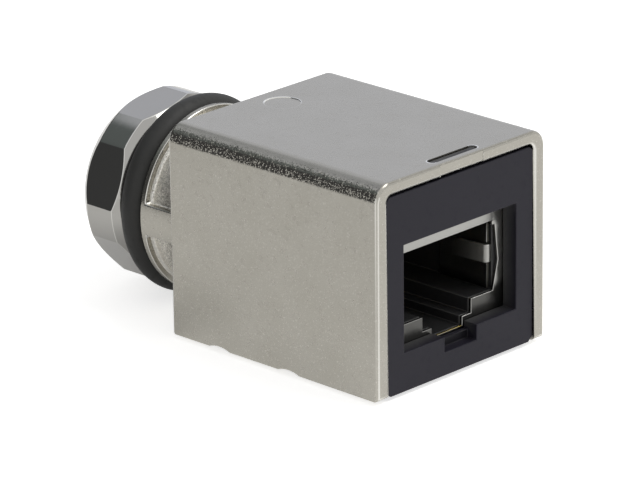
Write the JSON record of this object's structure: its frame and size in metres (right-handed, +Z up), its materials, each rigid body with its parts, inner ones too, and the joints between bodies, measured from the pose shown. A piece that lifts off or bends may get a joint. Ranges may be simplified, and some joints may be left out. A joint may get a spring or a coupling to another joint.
{
  "type": "circular to ethernet adapter",
  "caption": "Metal box adapter with a shielded ethernet port in a black face at one end and a circular screw socket with panel nut and sealing ring at the other.",
  "frame": {"origin": "on the axis of the circular socket, in the flange face that meets the panel", "axes": "+Y out of the circular socket, the ethernet port faces -Y, +Z up"},
  "size_m": [0.022, 0.0405, 0.0204],
  "materials": {
    "satin_nickel": "satin nickel plating over zinc die casting, fine cast grain",
    "bright_nickel": "bright nickel plating over turned brass",
    "cover_plastic": "satin black moulding with a bluish tone",
    "jack_plastic": "black moulding",
    "tinned_sheet": "tin plated copper alloy sheet with bare cut edges",
    "contact_gold": "gold plating",
    "board_laminate": "green solder mask over glass laminate",
    "seal_rubber": "matte black rubber"
  },
  "bodies": {
    "root": {"housing": "satin_nickel", "front_cover": "cover_plastic", "jack_shell": "tinned_sheet", "jack_body": "jack_plastic", "jack_contact_1": "contact_gold", "jack_contact_2": "contact_gold", "jack_contact_3": "contact_gold", "jack_contact_4": "contact_gold", "jack_contact_5": "contact_gold", "jack_contact_6": "contact_gold", "jack_contact_7": "contact_gold", "jack_contact_8": "contact_gold", "circuit_board": "board_laminate", "m12_insert": "jack_plastic", "carrier_collar": "jack_plastic", "m12_contact_1": "contact_gold", "m12_contact_2": "contact_gold", "m12_contact_3": "contact_gold", "m12_contact_4": "contact_gold", "insert_seal": "seal_rubber", "sealing_ring": "seal_rubber", "lock_nut": "bright_nickel"}
  },
  "joints": []
}
